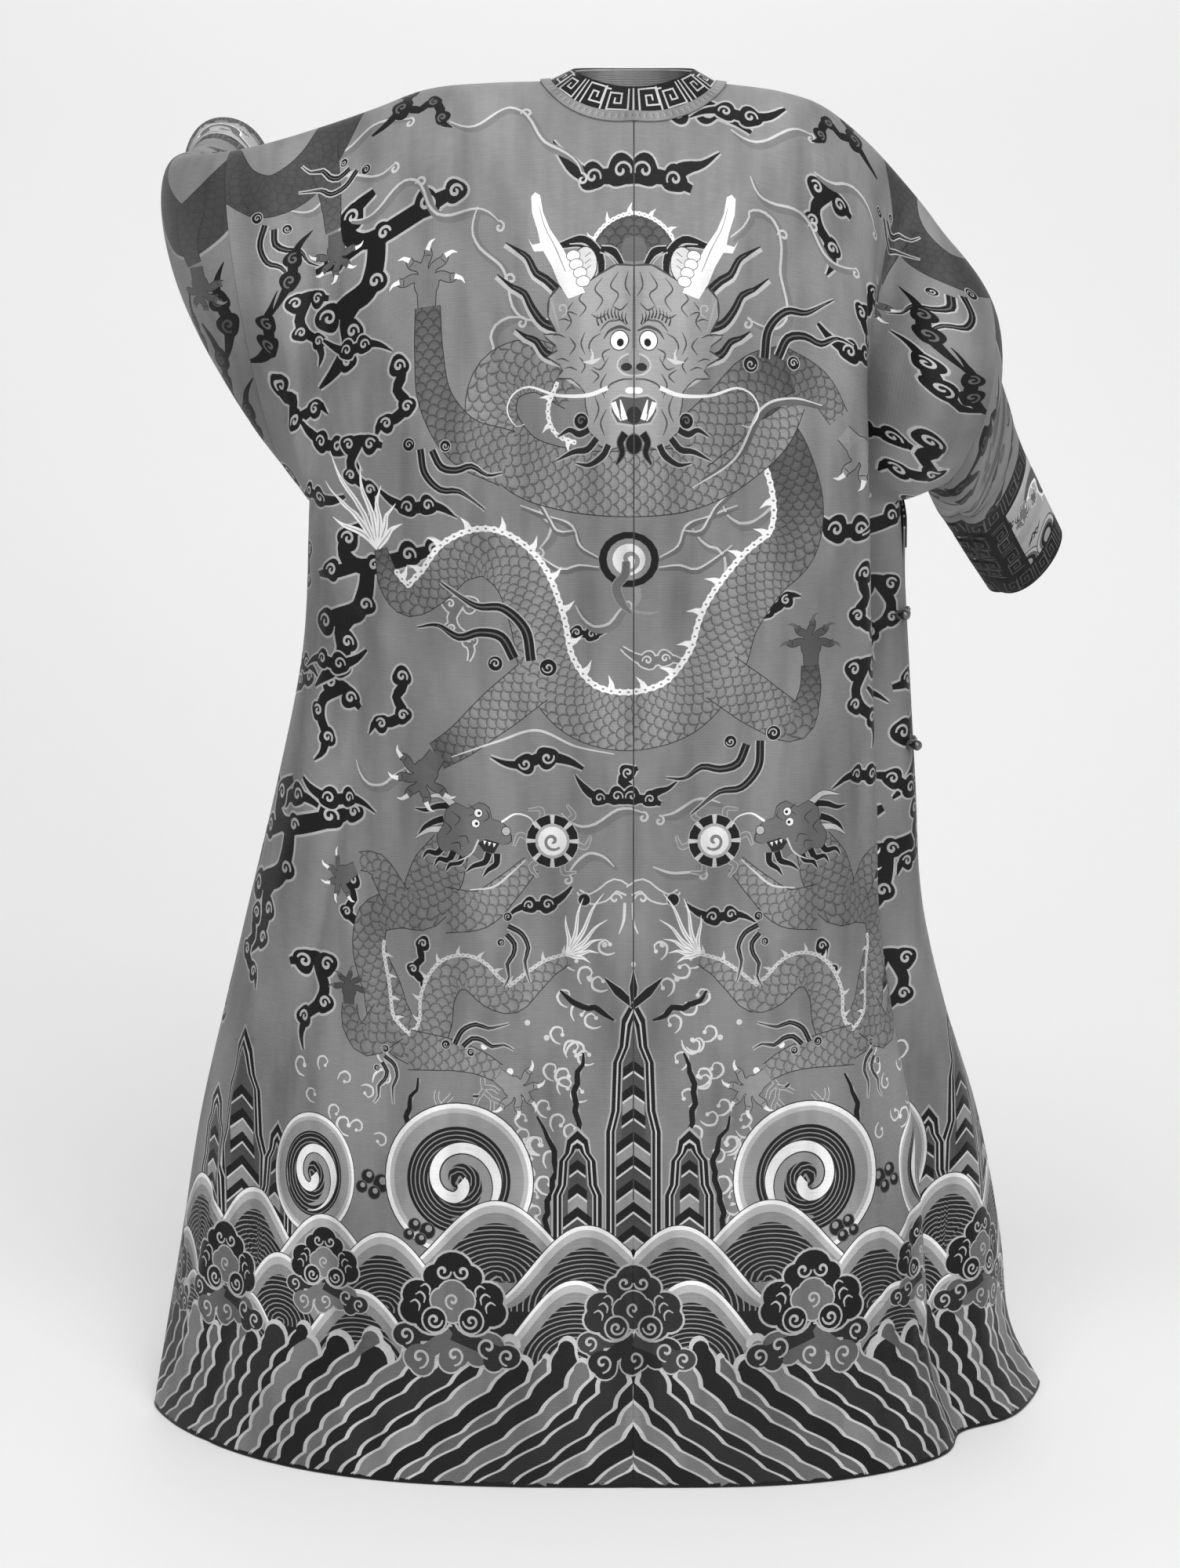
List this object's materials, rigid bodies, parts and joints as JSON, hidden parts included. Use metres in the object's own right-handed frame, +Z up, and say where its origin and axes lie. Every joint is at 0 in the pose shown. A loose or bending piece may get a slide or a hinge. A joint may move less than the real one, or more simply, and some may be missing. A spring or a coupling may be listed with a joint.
{
  "type": "chinese dragon robe",
  "caption": "Full-length side-fastening silk robe with long sleeves and horse-hoof cuffs, filled out as if worn, open at neck, hem and cuffs.",
  "frame": {"origin": "middle of the shoulder line, where the wearer's shoulders hold the robe up; the hem is 1.43 m below it", "axes": "+Z up, +Y out of the robe's back, so the wearer faces -Y; +X towards the wearer's left arm"},
  "size_m": [1.0017, 0.7427, 1.441],
  "materials": {
    "ground_silk": "flat woven silk tapestry",
    "fret_band_silk": "dark woven silk with a thin fret",
    "cuff_silk": "light woven silk tapestry",
    "braid": "narrow light woven braid",
    "lining_silk": "plain silk lining",
    "cord": "silk cord",
    "gilt_brass": "gilt brass, worn"
  },
  "bodies": {
    "root": {"back_left": "ground_silk", "back_right": "ground_silk", "button_1": "gilt_brass", "button_2": "gilt_brass", "button_3": "gilt_brass", "button_4": "gilt_brass", "button_5": "gilt_brass", "collar_band": "fret_band_silk", "collar_braid": "braid", "cuff_band_left": "fret_band_silk", "cuff_band_right": "fret_band_silk", "cuff_edge_left": "fret_band_silk", "cuff_edge_right": "fret_band_silk", "cuff_left": "cuff_silk", "cuff_right": "cuff_silk", "front_left": "ground_silk", "front_overlap": "ground_silk", "front_right": "ground_silk", "loop_1": "cord", "loop_2": "cord", "loop_3": "cord", "loop_4": "cord", "loop_5": "cord", "neck_lining": "lining_silk", "overlap_band": "fret_band_silk", "sleeve_left": "ground_silk", "sleeve_right": "ground_silk"}
  },
  "joints": []
}
